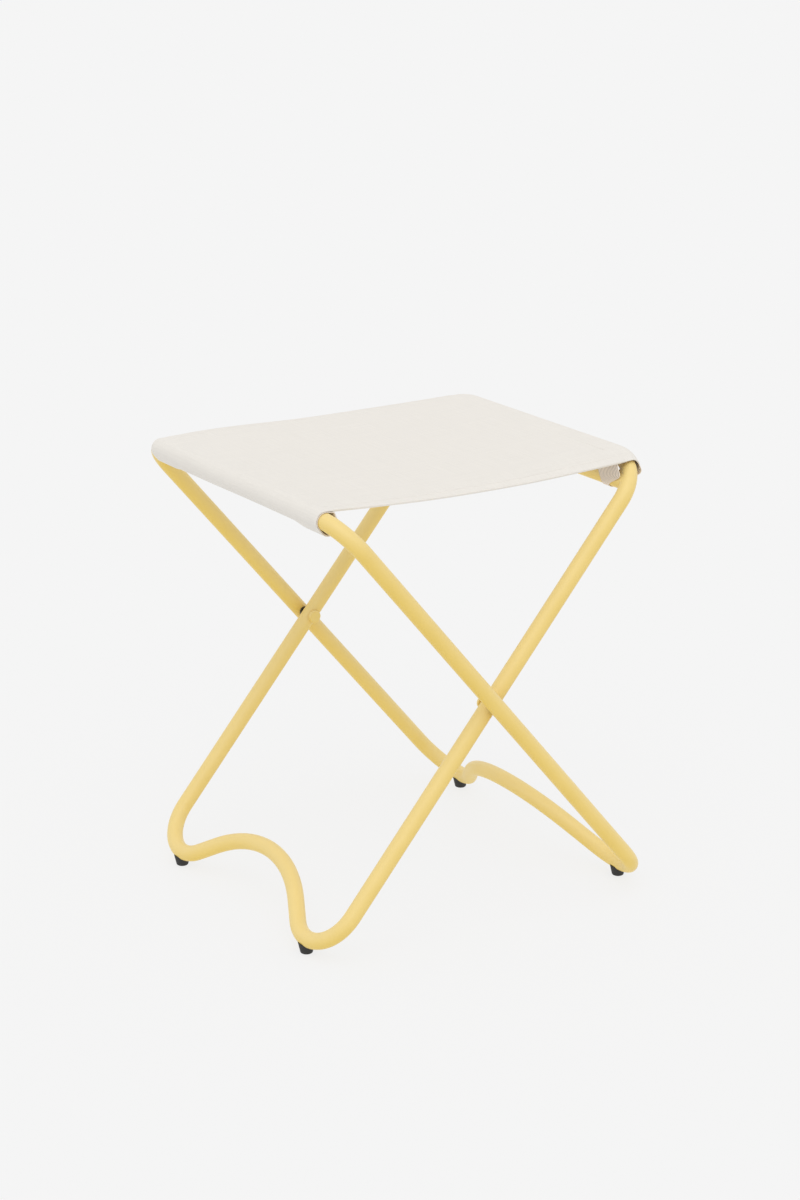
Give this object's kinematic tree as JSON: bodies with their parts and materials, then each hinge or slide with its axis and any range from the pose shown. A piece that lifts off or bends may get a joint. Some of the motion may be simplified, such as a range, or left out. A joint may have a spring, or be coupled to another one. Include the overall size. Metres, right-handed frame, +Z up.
{
  "type": "folding camp stool",
  "caption": "Folding stool: two wavy bent-tube frames cross on bolts and hold a canvas seat on their top rails, on rubber feet.",
  "frame": {"origin": "on the floor under the middle of the stool", "axes": "+Z up, Y along the two top rails and the pivots, +X towards the rail of the inner frame"},
  "size_m": [0.3718, 0.374, 0.4412],
  "materials": {
    "frame_paint": "satin powder coat",
    "steel": "zinc plated",
    "rubber": "matte",
    "nylon": "matte",
    "canvas": "plain-weave cotton canvas",
    "tape": "ribbed webbing"
  },
  "bodies": {
    "outer_frame": {"outer_frame_tube": "frame_paint", "outer_rail_splice": "steel", "outer_splice_rivets": "steel", "outer_foot_front": "rubber", "outer_foot_back": "rubber", "pivot_bolt_front": "frame_paint", "pivot_bolt_back": "frame_paint", "pivot_washer_front": "nylon", "pivot_washer_back": "nylon", "pivot_insert_front": "steel", "pivot_insert_back": "steel", "outer_rail_sleeve": "canvas", "outer_sleeve_band_front": "tape", "outer_sleeve_band_back": "tape", "outer_seat_panel": "canvas"},
    "inner_frame": {"inner_frame_tube": "frame_paint", "inner_rail_splice": "steel", "inner_splice_rivets": "steel", "inner_foot_front": "rubber", "inner_foot_back": "rubber", "sleeve_bar": "frame_paint", "inner_rail_sleeve": "canvas", "inner_sleeve_band_front": "tape", "inner_sleeve_band_back": "tape", "inner_seat_panel": "canvas"}
  },
  "joints": [
    {"name": "fold", "type": "hinge", "parent": "outer_frame", "child": "inner_frame", "pos_m": [0, 0, 0.224], "axis": [0, -1, 0], "range_deg": [0, 72], "deforming": ["outer_seat_panel", "inner_seat_panel"]}
  ]
}
